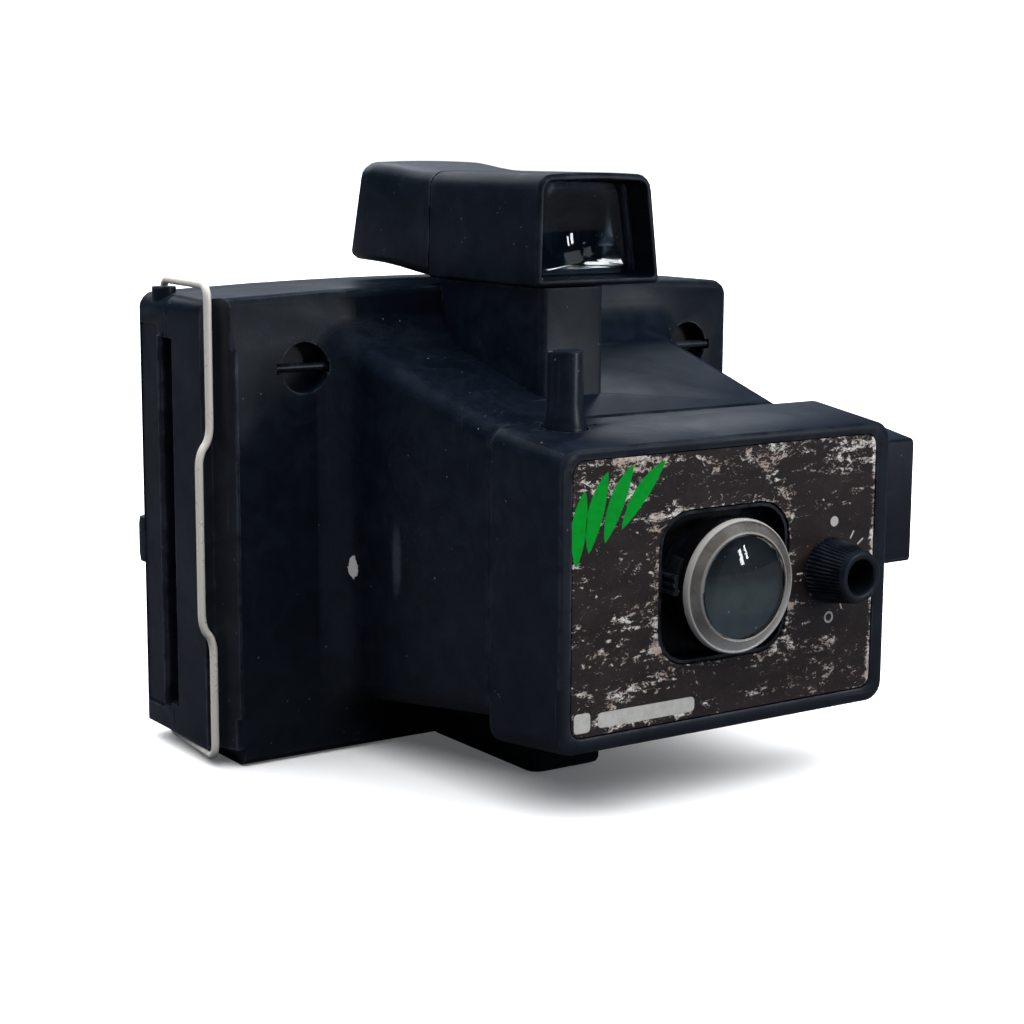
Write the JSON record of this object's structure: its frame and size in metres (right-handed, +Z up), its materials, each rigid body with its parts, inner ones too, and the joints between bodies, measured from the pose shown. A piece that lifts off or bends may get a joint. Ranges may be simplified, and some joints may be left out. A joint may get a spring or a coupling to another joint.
{
  "type": "instant camera",
  "caption": "Rigid box camera for peel-apart instant film, with a hinged back door and wire latch, rooftop finder, plastic lens with focus tab, exposure knob and vertical release rod.",
  "frame": {"origin": "middle of the overall box, on the surface the camera stands on", "axes": "+X to the right as seen from the front, -Y out of the lens, +Z up"},
  "size_m": [0.172, 0.1456, 0.1525],
  "materials": {
    "black_shell": "moulded ABS, fine satin grain",
    "black_satin": "moulded, satin to gloss",
    "black_matt": "matt, light absorbing",
    "face_film": "thin decorated sheet, worn",
    "clear_plastic": "clear moulded acrylic, polished",
    "steel": "nickel plated",
    "spring_steel": "bare spring steel and zinc plate",
    "brass": "bare contact strip",
    "cell_jacket": "printed jacket, plain",
    "board": "lacquered circuit board",
    "coil": "wound enamelled coil on its yoke",
    "sensor": "dark window"
  },
  "bodies": {
    "camera": {"body_shell": "black_shell", "front_housing": "black_shell", "face_plate": "face_film", "lens_well": "black_matt", "shutter_plate": "spring_steel", "photocell": "sensor", "release_spring": "spring_steel", "finder_body": "black_shell", "finder_front_lens": "clear_plastic", "finder_eye_lens": "clear_plastic", "eyepiece_hood": "black_satin", "flash_socket": "black_shell", "flash_contact_lower": "brass", "flash_contact_upper": "brass", "strap_pin_left": "black_satin", "strap_pin_right": "black_satin", "film_gate": "black_matt", "gate_screw_1": "spring_steel", "gate_screw_2": "spring_steel", "gate_screw_3": "spring_steel", "gate_screw_4": "spring_steel", "roller_frame": "spring_steel", "hinge_pin": "steel", "battery_holder": "black_matt", "battery_left": "cell_jacket", "battery_right": "cell_jacket", "circuit_board": "board", "shutter_magnet": "coil"},
    "door": {"back_door": "black_shell", "pack_spring_lower": "spring_steel", "pack_spring_upper": "spring_steel"},
    "bail": {"bail_wire": "steel"},
    "focus_ring": {"lens": "clear_plastic", "focus_lever": "black_satin"},
    "exposure_knob": {"light_dark_knob": "black_satin"},
    "release_rod": {"shutter_rod": "black_satin"},
    "blade": {"shutter_blade": "black_matt"},
    "roller_front": {"spread_roller_front": "steel"},
    "roller_rear": {"spread_roller_rear": "steel"},
    "battery_door": {"battery_cover": "black_shell"}
  },
  "joints": [
    {"name": "door_hinge", "type": "hinge", "parent": "camera", "child": "door", "pos_m": [0.08379, 0.0506, 0.06], "axis": [0, 0, -1], "range_deg": [0, 100]},
    {"name": "bail_pivot", "type": "hinge", "parent": "door", "child": "bail", "pos_m": [-0.07931, 0.05895, 0.06], "axis": [0, 0, -1], "range_deg": [0, 110]},
    {"name": "shutter_release", "type": "slide", "parent": "camera", "child": "release_rod", "axis": [0, 0, -1], "range_m": [0, 0.0045], "stiffness_N_per_m": 250, "springref_m": -0.004, "deforming": ["release_spring"]},
    {"name": "exposure_turn", "type": "hinge", "parent": "camera", "child": "exposure_knob", "pos_m": [0.04339, -0.06655, 0.053], "axis": [0, -1, 0], "range_deg": [-55, 55]},
    {"name": "focus_turn", "type": "hinge", "parent": "camera", "child": "focus_ring", "pos_m": [0.00979, -0.06255, 0.0534], "axis": [0, -1, 0], "range_deg": [0, 50]},
    {"name": "blade_swing", "type": "hinge", "parent": "camera", "child": "blade", "pos_m": [0.02519, -0.04805, 0.068], "axis": [0, 1, 0], "range_deg": [0, 30], "stiffness_Nm_per_rad": 0.0008, "springref_deg": -17.19},
    {"name": "roller_front_spin", "type": "hinge", "parent": "camera", "child": "roller_front", "pos_m": [-0.07041, 0.04485, 0.06], "axis": [0, 0, 1], "continuous": true},
    {"name": "roller_rear_spin", "type": "hinge", "parent": "camera", "child": "roller_rear", "pos_m": [-0.07041, 0.05635, 0.06], "axis": [0, 0, 1], "continuous": true},
    {"name": "battery_cover_hinge", "type": "hinge", "parent": "camera", "child": "battery_door", "pos_m": [-0.02331, -0.03935, 0.0166], "axis": [1, 0, 0], "range_deg": [0, 60]}
  ],
  "couplings": [
    {"joint": "roller_rear_spin", "follows": "roller_front_spin", "ratio": -1}
  ]
}
